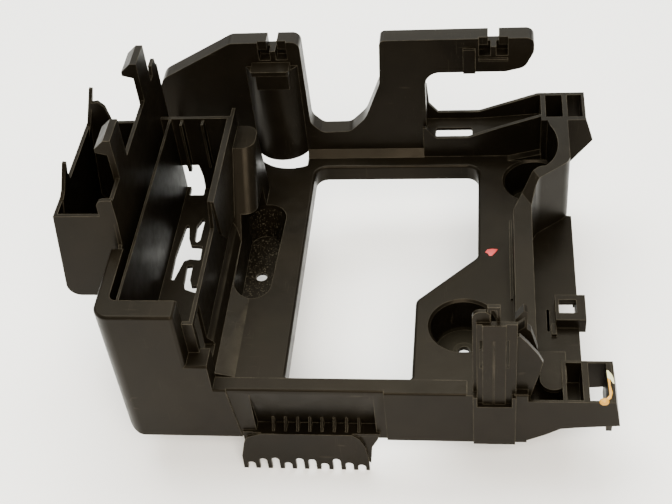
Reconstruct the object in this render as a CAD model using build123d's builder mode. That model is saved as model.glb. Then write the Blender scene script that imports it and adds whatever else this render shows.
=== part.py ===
from build123d import *
import os

# Injection moulded plastic housing: an open carrier frame in one moulding.
# Millimetres. X runs to the right, Y away from the front wall and Z up. The drawing
# datum is the near left corner of the floor window, at the height of the front
# wall's lower edge. The finished piece is moved at the end, so that the middle of
# its footprint and its lowest point are at the origin.

# ---- Driving dimensions ----
wall = 2.5                      # general wall thickness
web = 1.6                       # ribs, partitions and other thin walls
over = 1.0                      # how far a cutting shape runs past a face
embed = 0.5                     # how far joined shapes run into one another

floor_top = 47.5
floor_bottom = floor_top - wall
front_face = -12.5              # outside of the front wall
back_face = 220.0               # front of the back wall
back_depth = 13.0               # depth of the rim behind the back wall
back_end = back_face + back_depth

# Floor and its window
floor_left = -55.0
window_corners = [(-2.0, 0.0), (79.2, 0.0), (79.2, 68.0), (120.4, 109.5), (120.4, 205.0), (-2.0, 205.0)]
window_radii = [2.5, 2.5, 7.0, 7.0, 9.0, 9.0]
window_lip_bottom = 34.5
window_edge_round = 2.2
strip_top = 48.3                # raised strip along the front edge
strip_back = -1.5
strip_right = 114.2
strip_round = 1.6

# Left tower: the tall hollow front with its flat rim
box_top = 117.0
box_base = 0.0
box_left = -112.5
box_right = -61.0
box_inner = -104.0              # inside of the side stretch
box_back = 2.0                  # inside of the front stretch
box_side_end = 48.0
box_corner = 11.0
box_edge_round = 2.2
box_inner_corner = 5.0
box_foot_round = 12.0           # lower left corner, seen from the front
step_height = 71.5              # low shoulder right of the tall front
step_right = -47.5
step_edge_round = 2.0

# Open cell behind the tall front
cell_right = -54.0
cell_back = 181.0
cell_floor_top = 50.0
partition_x = -98.9
low_side_top = 98.0             # near stretch of the cell's right wall
low_side_end = 85.0
low_side_rise = 6.0
cell_ribs = [-89.5, -74.1]
cell_rib_depth = 6.0
cell_rib_base = 76.0
far_window = [
    (-102.5, 66.0), (-100.0, 73.0), (-93.5, 73.5), (-93.0, 67.0), (-90.5, 67.0), (-90.0, 73.5),
    (-84.5, 73.5), (-82.8, 62.0), (-83.5, 44.0), (-94.5, 44.0), (-102.0, 57.0),
]
side_panel = [(90.5, 117.0), (94.0, 84.0), (104.0, 70.0), (135.0, 64.0), (190.0, 64.0), (190.0, 117.0)]
side_panel_round = 9.0
side_panel_proud = 1.8
side_opening = (-57.0, -46.0, 4.0, 20.0, 56.0, 94.0)
far_floor_gap = (-94.5, -83.6, 171.5)
fork_opening = [
    (-90.8, 139.0), (-88.6, 138.0), (-86.5, 125.0), (-84.0, 118.0), (-75.3, 117.0), (-74.7, 103.0),
    (-82.2, 104.0), (-86.2, 102.0), (-90.0, 83.5), (-92.6, 83.5), (-93.2, 108.0),
]
finger_opening = [(-79.8, 145.5), (-77.9, 144.5), (-78.0, 123.5), (-80.0, 120.5), (-82.0, 123.5), (-82.8, 138.0)]
hook_opening = [
    (-83.2, 97.5), (-79.0, 98.2), (-78.6, 83.5), (-76.7, 78.0), (-72.2, 78.5), (-72.2, 71.0),
    (-80.6, 74.5), (-82.4, 80.0),
]
opening_round = 0.8

# Tall wall between the cell and the outer pocket, with its two snap hooks
tall_x = -105.0                 # right face
tall_outline = [
    (46.0, 48.5), (46.0, 116.0), (49.5, 118.0), (54.6, 151.5), (184.0, 151.5), (185.5, 158.5), (194.5, 158.5),
    (196.0, 151.5), (198.0, 151.5), (198.0, 100.0), (221.0, 76.0), (221.0, 62.0), (198.0, 85.0), (181.0, 85.0),
    (181.0, 48.5),
]
hook_starts = [76.0, 155.5]
hook_width = 22.0
hook_profile = [
    (-105.0, 148.0), (-105.0, 181.8), (-109.6, 181.8), (-116.4, 175.6), (-116.4, 172.6), (-109.0, 170.4),
    (-109.0, 148.0),
]

# Outer pocket with its spikes
pocket_near = 52.0
pocket_far = 148.0
pocket_top = 140.5
pocket_outline = [(-106.0, 68.0), (-153.8, 68.0), (-146.0, 140.5), (-142.5, 173.0), (-106.0, 173.0)]
pocket_corner = 9.0
ear_left = -115.5
ear_top = 153.6
ear_round = 5.0
spike_x = -145.2
spike_foot = -10.0              # spike heights are counted from the pocket's edge
near_spike = [
    (66.0, spike_foot), (67.0, 1.0), (72.0, 4.5), (79.8, 21.0), (81.8, 21.0), (82.0, 11.5), (87.0, 1.0),
    (88.0, spike_foot),
]
near_spike_lean = 9.3
far_spike = [(136.0, spike_foot), (143.0, 1.5), (148.6, 28.0), (150.5, 28.0), (150.5, spike_foot)]
far_spike_lean = 13.0
far_wing = [
    (-144.5, 130.0), (-144.0, 142.0), (-139.8, 161.5), (-138.5, 157.8), (-134.5, 158.5), (-130.5, 154.0), (-128.5, 143.0),
    (-128.5, 130.0),
]

# Back wall with its two hooks
back_outline = [
    (-116.5, 45.0), (-114.0, 112.0), (-110.5, 121.7), (-56.0, 151.5), (-6.0, 151.5), (-4.8, 78.0), (3.5, 69.2),
    (24.5, 69.6), (37.0, 82.0), (43.7, 99.0), (49.3, 113.5), (51.2, 151.0), (159.6, 151.0), (159.6, 139.0),
    (153.5, 126.0), (140.0, 122.6), (82.4, 122.6), (82.0, 45.0),
]
back_radii = [0, 5.0, 12.0, 9.0, 6.0, 9.0, 7.0, 8.0, 20.0, 18.0, 12.0, 4.0, 6.0, 8.0, 8.0, 8.0, 11.0, 0]
foot_bevel = 5.0                # along the foot of the low back wall
slot_centres = [-25.9, 131.3]
slot_width = 7.6
slot_base = 144.0
slot_face_width = 20.5
slot_face_depth = 2.0
slot_pocket_base = 136.5
slot_pocket_depth = 8.0
slot_rib = 4.0                  # between the two pockets under a slot
slot_block_base = 131.0

# Rounded column on the back wall, with the curved slit at its foot
column_left = -47.0
column_right = -9.0
column_bulge = 10.5
column_foot = 51.0
column_block = (-38.5, -14.8, 209.3, 118.0)
shelf_left = -42.5
shelf_right = -14.5
shelf_top = 134.5
shelf_thickness = 3.6
shelf_front = 208.0
slit_edge = 204.3
slit_ends = (216.3, 207.3)      # at the column's left and right side

# Ledge and proud rib under the right hook
right_ledge = (121.0, 141.5, 133.0)
right_rib = (110.0, 118.7, 122.6, 143.0)
rib_proud = 2.0

# Channel at the right of the back wall
channel_left = 79.5
channel_face = 216.0
channel_back = 243.5
channel_near_outline = [
    (79.5, 45.0), (79.5, 75.0), (81.5, 75.0), (89.0, 65.3), (113.0, 65.3), (136.0, 74.3), (166.5, 85.0), (166.5, 45.0),
]
channel_far_outline = [
    (79.5, 60.0), (79.5, 96.0), (82.2, 96.0), (83.5, 78.0), (90.0, 70.0), (121.0, 70.0), (164.0, 85.0),
    (167.5, 85.0), (167.5, 60.0),
]
channel_floor_line = [(79.5, 64.0), (123.0, 64.0), (167.5, 67.5), (167.5, 61.5), (79.5, 61.5)]
channel_slot = (88.7, 115.8, 219.7, 229.8)

# Corner block with two cells, and the flared web beside it
corner_face = 211.0
corner_outline = [(166.0, 45.0), (186.5, 45.0), (198.0, 62.0), (198.0, 85.0), (166.0, 85.0)]
flare_outline = [(183.0, 85.0), (198.0, 85.0), (203.6, 66.0), (188.0, 45.0), (183.0, 45.0)]
first_cell = (169.5, 181.6, 52.0)
second_cell = (185.2, 195.8, 30.0)
cell_gap_near = 215.0
cell_gap_far = 240.5
floor_ramp = [(142.0, 46.5), (142.0, 47.5), (166.5, 53.7), (166.5, 46.5)]

# Rim along the right side: a high curved stretch, a short ramp and the long rail
rim_top = 85.0
rail_top = 75.0
rim_base = 29.5
rail_inner = 144.6
rail_outer = 157.0
rail_start = 3.0
band_outer = 184.8
band_inner = band_outer - 8.5
outer_bends = [(rail_outer, 131.0, 10.0), (rail_outer + 3.8, 146.8, 14.0), (band_outer, 166.0, 12.0)]
ramp_foot = (rail_inner + 6.3, 143.8)
ramp_head = (rail_inner + 12.7, 154.5)
inner_bends = [
    (band_inner - 13.8, 160.1, 4.0), (band_inner - 8.2, 161.4, 4.0), (band_inner - 3.9, 167.1, 0.6),
    (band_inner + 5.0, 186.3, 42.0), (band_inner - 4.3, 205.5, 0.6),
]
block_corner = (band_inner - 6.4, 213.5)
ramp_run = 12.5
ramp_direction = (0.893, 0.45)
bead_x = 143.2
bead_width = 1.6
bead_height = 1.4
bead_start = 68.0

# Outer ledge with its clip block
ledge_top = 32.0
ledge_right = 187.5
ledge_near = 19.0
ledge_lip = 9.0
clip_block = (172.0, 192.0, 57.3, 80.0)
clip_base = 28.0
clip_top = 40.0
clip_window = (174.4, 186.0, 63.6, 75.5)
clip_relief = (174.4, 186.0, 63.6, 84.0, 32.7)  # the far wall of the window is open below this height
clip_slot = (166.5, 168.3, 54.2, 73.6)
clip_stop = (169.2, 172.5, 49.5, 59.0, 34.5)

# Tray at the front right corner
tray_left = 151.0
tray_near = -13.0
tray_far = 20.5
tray_outline = [
    (151.0, 42.0), (151.0, 1.5), (163.5, 8.2), (173.0, 14.8), (186.0, 16.6), (209.8, 18.8), (206.0, 42.0),
]
tray_cells = [(153.5, 173.7, 20.0), (176.2, 186.2, 22.0), (190.2, 204.6, -5.0)]
tray_wall = 1.6
tongue = (160.0, 177.0, -0.5, 31.0)
tongue_top = 38.5
tongue_thickness = 3.0

# Clip tower on the front wall
tower_left = 118.0
tower_right = 144.6
tower_foot = 38.5
foot_face = -15.0
panel_centre = (124.0, 138.0)
panel_face = -12.5
tower_top = 112.0
ear_plate = (118.0, 128.5, 120.5)
ear_plate_face = -9.5
ear_plate_round = 5.0
prongs = [(127.0, 129.0), (132.4, 134.4)]
prong_top = 124.0
prong_face = -9.0
tower_slots = [123.1, 139.0]
tower_slot_width = 1.8
tower_slot_low = 72.5
tower_slot_high = 97.8
groove_x = 130.8
second_prong = (0.0, 6.0)
second_prong_outline = [(143.2, 45.0), (143.2, 103.5), (148.4, 111.5), (150.5, 110.0), (150.5, 45.0)]
second_prong_slot = [(144.2, 92.5), (149.2, 97.0), (149.2, 106.5), (144.2, 101.0)]
gusset_face = -8.0
gusset_outline = [
    (143.5, 30.0), (143.5, 96.0), (146.0, 98.0), (150.5, 92.0), (157.5, 81.0), (160.5, 74.0), (158.3, 62.0),
    (155.5, 50.0), (151.5, 30.0),
]
buttress_outline = [(150.0, 45.0), (150.0, 96.0), (153.0, 93.0), (157.5, 76.0), (157.0, 45.0)]

# Bolt recesses
round_recess = (111.5, 45.5)
rear_recess = (161.5, 188.0)
recess_radius = 22.0
recess_low_radius = 20.0
recess_rim_bevel = 1.6
boss_radius = 7.5               # ring round the bolt hole
boss_height = 1.2
recess_bottom = 20.0
long_recess_top = [(-34.0, 81.2, 12.8), (-33.0, 148.5, 14.5)]
long_recess_low = [(-37.0, 82.5, 10.0), (-36.8, 145.0, 10.7)]
long_recess_bottom = 22.0
long_recess_reach = 66.0        # the recess also cuts the skirt above the floor
long_bolt = (-35.5, 113.5)
bolt_hole_radius = 4.1

# Skirt outside the cell and the half tube standing on it
skirt_profile = [(-55.0, 63.0), (-50.5, 58.5), (-47.6, 51.0), (-34.7, 47.5), (-34.7, 46.5), (-55.0, 46.5)]
skirt_far = 134.0
tube_low = (-59.0, -35.0, 118.0, 190.0, 47.0)
tube_high = (-60.0, -37.0, 162.0, 187.0, 103.0)
tube_corner = 9.0

# Front wall sections, scoop and comb
mid_left = -34.5
mid_left_top = -39.0
mid_right = 62.0
mid_face = -11.7
right_face = -13.3
front_base = 0.0
scoop_left = -24.5
scoop_right = 55.0
scoop_depth = 7.0
scoop_top = 44.0
shelf_line = 6.5
shelf_lip = -13.8
comb_face = -15.0
comb_thickness = 2.2
comb_outline = [
    (-37.6, -32.0), (-37.2, -18.0), (-34.0, -4.0), (-31.0, 2.5), (-21.0, 6.5), (39.0, 6.5), (44.0, 2.0), (47.0, -6.0),
    (48.4, -18.0), (48.4, -32.0),
]
comb_backing = [(-33.5, 6.5), (56.0, 6.5), (56.0, 1.0), (51.5, -8.0), (49.6, -26.0), (44.0, -18.0), (-33.5, -18.0)]
gap_tops = [-25.0, -21.0, -20.0, -25.0, -20.0, -21.0, -25.0, -20.0, -24.0, -26.0]
gap_width = 5.4
tooth_pitch = 8.35
first_gap = -31.9
rib_pitch = 8.1
first_rib = -13.2
rib_count = 8
rib_height = 9.0

# Feet under the rear edge
left_foot = (-80.0, -62.0, 208.0, 222.0, 48.5)
right_foot = (153.0, 178.0, 236.0, 243.5, 51.5)


def upright(y):
    """Sketch plane facing the front at depth y; extruding by a minus amount goes away from the front."""
    return Plane.XZ.offset(-y)


# ---- Floor plate, window lip, bevels and bead ----
with BuildSketch() as window_shape:
    with BuildLine():
        FilletPolyline(*window_corners, radius=window_radii, close=True)
    make_face()

with BuildPart() as floor_plate:
    with BuildSketch(Plane.XY.offset(floor_bottom)):
        with BuildLine():
            Polyline(
                (step_right - over, front_face + 2 * over), (rail_inner + over, front_face + 2 * over),
                (rail_inner + over, ramp_foot[1] - 14), (ramp_foot[0] + over, ramp_foot[1]),
                inner_bends[0][:2], inner_bends[2][:2], (band_inner + over, inner_bends[3][1]),
                (band_inner + over, back_face + over),
                (floor_left, back_face + over), (floor_left, box_back - over), (step_right - over, box_back - over),
                close=True,
            )
        make_face()
    extrude(amount=wall)
    with BuildSketch(Plane.XY.offset(window_lip_bottom)):
        add(window_shape.sketch)
        offset(amount=wall)
    extrude(amount=floor_bottom - window_lip_bottom + embed)
    with BuildSketch(Plane.XY.offset(window_lip_bottom - over)):
        add(window_shape.sketch)
    extrude(amount=floor_top, mode=Mode.SUBTRACT)
    top_face = floor_plate.faces().filter_by(Axis.Z).sort_by(Axis.Z)[-1]
    fillet(top_face.inner_wires().edges(), radius=window_edge_round)
    # bevel along the foot of the low back wall
    with BuildSketch(Plane.YZ.offset(column_right)):
        with BuildLine():
            Polyline(
                (back_face - foot_bevel, floor_bottom), (back_face - foot_bevel, floor_top),
                (back_face, floor_top + foot_bevel), (back_face + over, floor_top + foot_bevel),
                (back_face + over, floor_bottom), close=True,
            )
        make_face()
    extrude(amount=channel_left - column_right)
    # raised bead beside the rail, and the ramp into the rear corner
    with BuildSketch(Plane.XY.offset(floor_top - embed)):
        with Locations((bead_x, bead_start)):
            Rectangle(bead_width, ramp_foot[1] - bead_start, align=(Align.CENTER, Align.MIN))
    extrude(amount=bead_height + embed)
    with BuildSketch(upright(corner_face - over)):
        with BuildLine():
            Polyline(*floor_ramp, close=True)
        make_face()
    extrude(amount=-(channel_face + 2 * over - corner_face))

# ---- Rim along the right side: curved shell with a ramp, open underneath ----
rim_line = [
    (rail_outer, rail_start, 0.3), (rail_inner, rail_start, 0.3), (rail_inner, ramp_foot[1] - 17, 4.0),
    (*ramp_foot, 1.0), (*ramp_head, 1.0), *inner_bends, (*block_corner, 0.3),
    (band_outer, corner_face + wall, 0.3), *reversed(outer_bends),
]
with BuildSketch() as rim_shape:
    with BuildLine():
        FilletPolyline(*[(x, y) for x, y, _ in rim_line], radius=[radius for _, _, radius in rim_line], close=True)
    make_face()

ramp_plane = Plane(origin=(*ramp_foot, 0), x_dir=(*ramp_direction, 0), z_dir=(ramp_direction[1], -ramp_direction[0], 0))
with BuildPart() as above_ramp:
    with BuildSketch(ramp_plane):
        with BuildLine():
            Polyline(
                (-rim_top * 3, rail_top), (0, rail_top), (ramp_run, rim_top), (ramp_run, rim_top * 2),
                (-rim_top * 3, rim_top * 2), close=True,
            )
        make_face()
    extrude(amount=rim_top * 3, both=True)

with BuildPart() as rim:
    with BuildSketch(Plane.XY.offset(rim_base)):
        add(rim_shape.sketch)
    extrude(amount=rim_top - rim_base)
    add(above_ramp.part, mode=Mode.SUBTRACT)
    with BuildPart(mode=Mode.PRIVATE) as rim_hollow:
        with BuildSketch(Plane.XY.offset(rim_base - over)):
            add(rim_shape.sketch)
            offset(amount=-wall, kind=Kind.INTERSECTION)
        extrude(amount=rim_top - wall - rim_base + over)
        add(above_ramp.part.moved(Location((0, 0, -wall))), mode=Mode.SUBTRACT)
    add(rim_hollow.part, mode=Mode.SUBTRACT)

# ---- Bolt recesses: cups hanging under the floor, and what they enclose ----
with BuildPart() as cups:
    for centre in (round_recess, rear_recess):
        with BuildSketch(Plane.XY.offset(floor_bottom + embed)):
            with Locations(centre):
                Circle(recess_radius + wall)
        with BuildSketch(Plane.XY.offset(recess_bottom - wall)):
            with Locations(centre):
                Circle(recess_low_radius + wall)
        loft()
    split(bisect_by=Plane.YZ.offset(band_inner + wall), keep=Keep.BOTTOM)
    for level, circles in ((floor_bottom + embed, long_recess_top), (long_recess_bottom - wall, long_recess_low)):
        with BuildSketch(Plane.XY.offset(level)):
            for x, y, radius in circles:
                with Locations((x, y)):
                    Circle(radius + wall)
            make_hull()
    loft()

with BuildPart() as cup_hollows:
    for centre in (round_recess, rear_recess):
        with BuildSketch(Plane(origin=(*centre, 0), x_dir=(1, 0, 0), z_dir=(0, -1, 0))):
            with BuildLine():
                Polyline(
                    (recess_radius + recess_rim_bevel, floor_top), (recess_radius + recess_rim_bevel, floor_top + over),
                    (0, floor_top + over), (0, recess_bottom), (recess_low_radius, recess_bottom),
                    (recess_radius, floor_top - recess_rim_bevel), close=True,
                )
            make_face()
        revolve(axis=Axis((*centre, 0), (0, 0, 1)))
    split(bisect_by=Plane.YZ.offset(band_inner), keep=Keep.BOTTOM)
    for level, circles in ((floor_top, long_recess_top), (long_recess_bottom, long_recess_low)):
        with BuildSketch(Plane.XY.offset(level)):
            for x, y, radius in circles:
                with Locations((x, y)):
                    Circle(radius)
            make_hull()
    loft()
    with BuildSketch(Plane.XY.offset(floor_top)):
        for x, y, radius in long_recess_top:
            with Locations((x, y)):
                Circle(radius)
        make_hull()
    extrude(amount=long_recess_reach - floor_top)

with BuildPart() as bolt_holes:
    with BuildSketch(Plane.XY.offset(recess_bottom - 2 * wall)):
        with Locations(round_recess, long_bolt):
            Circle(bolt_hole_radius)
    extrude(amount=3 * wall)

with BuildPart() as boss:
    with BuildSketch(Plane.XY.offset(recess_bottom - embed)):
        with Locations(round_recess):
            Circle(boss_radius)
    extrude(amount=boss_height + embed)

# ---- Left tower: hollow front, side stretch and low shoulder ----
with BuildPart() as box:
    with BuildSketch(Plane.XY.offset(box_base)) as box_shape:
        with BuildLine():
            FilletPolyline(
                (box_right, front_face), (box_left, front_face), (box_left, box_side_end), (box_inner, box_side_end),
                (box_inner, box_back), (box_right, box_back),
                radius=[wall, box_corner, 0, 0, box_inner_corner, 0], close=True,
            )
        make_face()
    extrude(amount=box_top - box_base)
    top_edges = box.faces().sort_by(Axis.Z)[-1].outer_wire().edges()
    outer_edges = top_edges.filter_by(lambda e: e.center().Y < front_face / 2 or e.center().X < box_inner - wall)
    fillet(outer_edges, radius=box_edge_round)
    with BuildSketch(Plane.XY.offset(box_base - over)):
        add(box_shape.sketch)
        offset(amount=-wall)
    extrude(amount=box_top - wall - box_base + over, mode=Mode.SUBTRACT)
    # rounded foot at the left
    with BuildSketch(upright(front_face - over)) as foot_corner:
        with Locations((box_left - over, box_base - over)):
            Rectangle(box_foot_round + over, box_foot_round + over, align=Align.MIN)
        with Locations((box_left + box_foot_round, box_base + box_foot_round)):
            Circle(box_foot_round, mode=Mode.SUBTRACT)
    extrude(amount=-(box_side_end - front_face + 2 * over), mode=Mode.SUBTRACT)

with BuildPart() as shoulder:
    with BuildSketch(Plane.XY.offset(front_base)):
        with Locations((box_right - wall, front_face)):
            Rectangle(step_right - box_right + wall, box_back - front_face + over, align=Align.MIN)
    extrude(amount=step_height - front_base)
    fillet(shoulder.faces().sort_by(Axis.Z)[-1].edges().filter_by(Axis.X).sort_by(Axis.Y)[0], radius=step_edge_round)
    with BuildSketch(Plane.XY.offset(front_base - over)):
        with Locations((box_right - embed, front_face + wall)):
            Rectangle(step_right - box_right - wall + embed, box_back - front_face - 2 * wall + over, align=Align.MIN)
    extrude(amount=step_height - wall - front_base + over, mode=Mode.SUBTRACT)

# ---- Open cell: floor, partition, side wall, far wall with its window and ribs ----
with BuildPart() as cell:
    with BuildSketch(Plane.XY.offset(floor_top - embed)):
        with Locations((tall_x - embed, box_back - over)):
            Rectangle(cell_right - tall_x + embed, cell_back - box_back + over, align=Align.MIN)
        for outline in (fork_opening, finger_opening, hook_opening):
            with BuildLine():
                FilletPolyline(*outline, radius=opening_round, close=True)
            make_face(mode=Mode.SUBTRACT)
        with Locations((far_floor_gap[0], far_floor_gap[2])):
            Rectangle(far_floor_gap[1] - far_floor_gap[0], cell_back - far_floor_gap[2] + over,
                      align=Align.MIN, mode=Mode.SUBTRACT)
    extrude(amount=cell_floor_top - floor_top + embed)
    with BuildSketch(Plane.XY.offset(floor_top)):
        with Locations((partition_x, box_back - over)):
            Rectangle(web, cell_back - box_back + over, align=Align.MIN)
    extrude(amount=box_top - floor_top)
    with BuildSketch(Plane.YZ.offset(cell_right - wall)):
        with BuildLine():
            Polyline(
                (box_back - wall, floor_bottom), (box_back - wall, low_side_top), (low_side_end, low_side_top),
                (low_side_end + low_side_rise, box_top), (cell_back, box_top), (cell_back, floor_bottom), close=True,
            )
        make_face()
    extrude(amount=wall)
    with BuildSketch(upright(cell_back - wall)):
        with BuildLine():
            Polyline((tall_x - embed, floor_bottom), (tall_x - embed, box_top), (cell_right, box_top),
                     (cell_right, floor_bottom), close=True)
        make_face()
        with BuildLine():
            FilletPolyline(*far_window, radius=opening_round, close=True)
        make_face(mode=Mode.SUBTRACT)
    extrude(amount=-wall)
    with BuildSketch(upright(box_back - wall)):
        with Locations((box_right - wall, floor_bottom)):
            Rectangle(cell_right - box_right + wall, low_side_top - floor_bottom, align=Align.MIN)
    extrude(amount=-wall)
    with BuildSketch(Plane.YZ.offset(cell_right - embed)):
        with BuildLine():
            FilletPolyline(*side_panel, radius=[0, side_panel_round, side_panel_round, side_panel_round, 0, 0],
                           close=True)
        make_face()
    extrude(amount=side_panel_proud + embed)
    for x in cell_ribs:
        with BuildSketch(upright(cell_back - wall - cell_rib_depth)):
            with Locations((x, cell_rib_base)):
                Rectangle(web, box_top - over - cell_rib_base, align=(Align.CENTER, Align.MIN))
        extrude(amount=-(cell_rib_depth + embed))

# ---- Tall wall with snap hooks ----
with BuildPart() as tall_wall:
    with BuildSketch(Plane.YZ.offset(tall_x - wall)):
        with BuildLine():
            Polyline(*tall_outline, close=True)
        make_face()
    extrude(amount=wall)
    for start in hook_starts:
        with BuildSketch(upright(start)):
            with BuildLine():
                Polyline(*hook_profile, close=True)
            make_face()
        extrude(amount=-hook_width)

# ---- Outer pocket with spikes ----
with BuildPart() as pocket:
    with BuildSketch(upright(pocket_near)) as pocket_shape:
        with BuildLine():
            FilletPolyline(*pocket_outline, radius=[0, pocket_corner, 0, 0, 0], close=True)
        make_face()
    extrude(amount=-(pocket_far - pocket_near))
    with BuildSketch(upright(pocket_near + wall)):
        add(pocket_shape.sketch)
        offset(amount=-wall)
    extrude(amount=-(pocket_far - pocket_near - 2 * wall), mode=Mode.SUBTRACT)
    with BuildSketch(Plane.XY.offset(pocket_top)):
        with Locations((pocket_outline[1][0], 0)):
            Rectangle(60, pocket_far + over, align=Align.MIN)
    extrude(amount=60, mode=Mode.SUBTRACT)
    # raised ear where the near wall meets the tall wall
    with BuildSketch(upright(pocket_near)):
        with BuildLine():
            FilletPolyline((tall_x, pocket_top - 10), (tall_x, ear_top), (ear_left, ear_top),
                           (ear_left, pocket_top - 10), radius=[0, 0, ear_round, 0], close=True)
        make_face()
    extrude(amount=-wall)
    for outline, lean in ((near_spike, near_spike_lean), (far_spike, far_spike_lean)):
        leaning = Plane(origin=(spike_x, 0, pocket_top), x_dir=(0, 1, 0), z_dir=(1, 0, 0)).rotated((0, lean, 0))
        with BuildSketch(leaning):
            with BuildLine():
                Polyline(*outline, close=True)
            make_face()
        extrude(amount=wall)
    with BuildSketch(upright(pocket_far - wall)):
        with BuildLine():
            Polyline(*far_wing, close=True)
        make_face()
    extrude(amount=-wall)

# ---- Skirt and half tube beside the cell ----
with BuildPart() as skirt:
    with BuildSketch(upright(box_back - wall)):
        with BuildLine():
            Polyline(*skirt_profile, close=True)
        make_face()
    extrude(amount=-(skirt_far - box_back))

with BuildPart() as tube:
    for left, right, near, far, level in (tube_low, tube_high):
        with BuildSketch(Plane.XY.offset(level)):
            with Locations(((left + right) / 2, (near + far) / 2)):
                RectangleRounded(right - left, far - near, tube_corner)
    loft()
    # only what lies right of the cell's wall
    split(bisect_by=Plane.YZ.offset(cell_right - over), keep=Keep.TOP)

# ---- Back wall: a plate with a rim behind it, hooks, column and shelf ----
with BuildPart() as back_wall:
    with BuildSketch(upright(back_face)) as back_shape:
        with BuildLine():
            FilletPolyline(*back_outline, radius=back_radii, close=True)
        make_face()
    extrude(amount=-back_depth)
    with BuildSketch(upright(back_face + wall)):
        add(back_shape.sketch)
        offset(amount=-wall)
    extrude(amount=-back_depth, mode=Mode.SUBTRACT)
    # solid blocks behind the two slots, then the slots and their stepped faces
    for x in slot_centres:
        with BuildSketch(upright(back_face)):
            with Locations((x, slot_block_base)):
                Rectangle(slot_face_width + 2 * wall, back_outline[3][1] - slot_block_base - embed,
                          align=(Align.CENTER, Align.MIN))
        extrude(amount=-back_depth)
        with BuildSketch(upright(back_face - over)):
            with Locations((x, slot_base)):
                Rectangle(slot_width, 40, align=(Align.CENTER, Align.MIN))
        extrude(amount=-(back_depth + 2 * over), mode=Mode.SUBTRACT)
        with BuildSketch(upright(back_face - over)):
            with Locations((x, slot_base)):
                Rectangle(slot_face_width, 40, align=(Align.CENTER, Align.MIN))
        extrude(amount=-(slot_face_depth + over), mode=Mode.SUBTRACT)
        with BuildSketch(upright(back_face - over)):
            with Locations((x, slot_pocket_base)):
                Rectangle(slot_face_width, slot_base - slot_pocket_base + embed, align=(Align.CENTER, Align.MIN))
                Rectangle(slot_rib, slot_base - slot_pocket_base + over, align=(Align.CENTER, Align.MIN),
                          mode=Mode.SUBTRACT)
        extrude(amount=-(slot_pocket_depth + over), mode=Mode.SUBTRACT)
    # rounded column, hollow from behind
    column_middle = (column_left + column_right) / 2
    shelf_base = shelf_top - shelf_thickness
    for inset, low, high, mode in (
        (0.0, column_foot, shelf_base + embed, Mode.ADD), (wall, column_foot - wall, shelf_base - wall, Mode.SUBTRACT),
    ):
        with BuildSketch(Plane.XY.offset(low)):
            with BuildLine():
                Polyline(
                    (column_left + inset, back_face), (column_left + inset, back_face + wall + inset),
                    (column_right - inset, back_face + wall + inset), (column_right - inset, back_face),
                )
                ThreePointArc(
                    (column_right - inset, back_face), (column_middle, back_face - column_bulge + inset),
                    (column_left + inset, back_face),
                )
            make_face()
        extrude(amount=high - low, mode=mode)
    x0, x1, face, low = column_block
    with BuildSketch(upright(face)):
        with Locations((x0, low)):
            Rectangle(x1 - x0, shelf_base + embed - low, align=Align.MIN)
    extrude(amount=-wall)
    # clearance under the column
    with BuildSketch(Plane.XY.offset(floor_bottom - over)):
        with Locations((column_left, back_face - over)):
            Rectangle(column_right - column_left, back_depth + 2 * over, align=Align.MIN)
    extrude(amount=column_foot - floor_bottom + over, mode=Mode.SUBTRACT)
    # shelf above the column, ledge and rib under the right hook
    with BuildSketch(Plane.XY.offset(shelf_base)):
        with Locations((column_middle, (shelf_front + back_face + over) / 2)):
            RectangleRounded(shelf_right - shelf_left, back_face + over - shelf_front, 2.0)
    extrude(amount=shelf_thickness)
    with BuildSketch(upright(back_face - rib_proud)):
        with Locations((right_rib[0], right_rib[2])):
            Rectangle(right_rib[1] - right_rib[0], right_rib[3] - right_rib[2], align=Align.MIN)
        with Locations((right_ledge[0], right_ledge[2])):
            Rectangle(right_ledge[1] - right_ledge[0], web, align=Align.MIN)
    extrude(amount=-(rib_proud + embed))

with BuildPart() as slit:
    with BuildSketch(Plane.XY.offset(floor_bottom - over)):
        with BuildLine():
            Polyline((column_right, slit_ends[1]), (column_right, back_end), (column_left, back_end),
                     (column_left, slit_ends[0]))
            ThreePointArc((column_left, slit_ends[0]), ((column_left + column_right) / 2, slit_edge),
                          (column_right, slit_ends[1]))
        make_face()
    extrude(amount=column_foot - floor_bottom + over)

# ---- Channel and corner block ----
with BuildPart() as channel:
    for outline, face in ((channel_near_outline, channel_face), (channel_far_outline, channel_back - wall)):
        with BuildSketch(upright(face)):
            with BuildLine():
                Polyline(*outline, close=True)
            make_face()
        extrude(amount=-wall)
    with BuildSketch(upright(channel_face + embed)):
        with BuildLine():
            Polyline(*channel_floor_line, close=True)
        make_face()
    extrude(amount=-(channel_back - channel_face - 2 * embed))
    x0, x1, y0, y1 = channel_slot
    with BuildSketch(Plane.XY.offset(floor_bottom)):
        with Locations(((x0 + x1) / 2, (y0 + y1) / 2)):
            RectangleRounded(x1 - x0, y1 - y0, 1.5)
    extrude(amount=40, mode=Mode.SUBTRACT)
    with BuildSketch(upright(corner_face)):
        with BuildLine():
            Polyline(*corner_outline, close=True)
        make_face()
    extrude(amount=-(channel_back - corner_face))
    with BuildSketch(upright(corner_face)):
        with BuildLine():
            Polyline(*flare_outline, close=True)
        make_face()
    extrude(amount=-wall)
    for x0, x1, level in (first_cell, second_cell):
        with BuildSketch(Plane.XY.offset(level)):
            with Locations((x0, cell_gap_near)):
                Rectangle(x1 - x0, cell_gap_far - cell_gap_near, align=Align.MIN)
        extrude(amount=80, mode=Mode.SUBTRACT)

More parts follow.
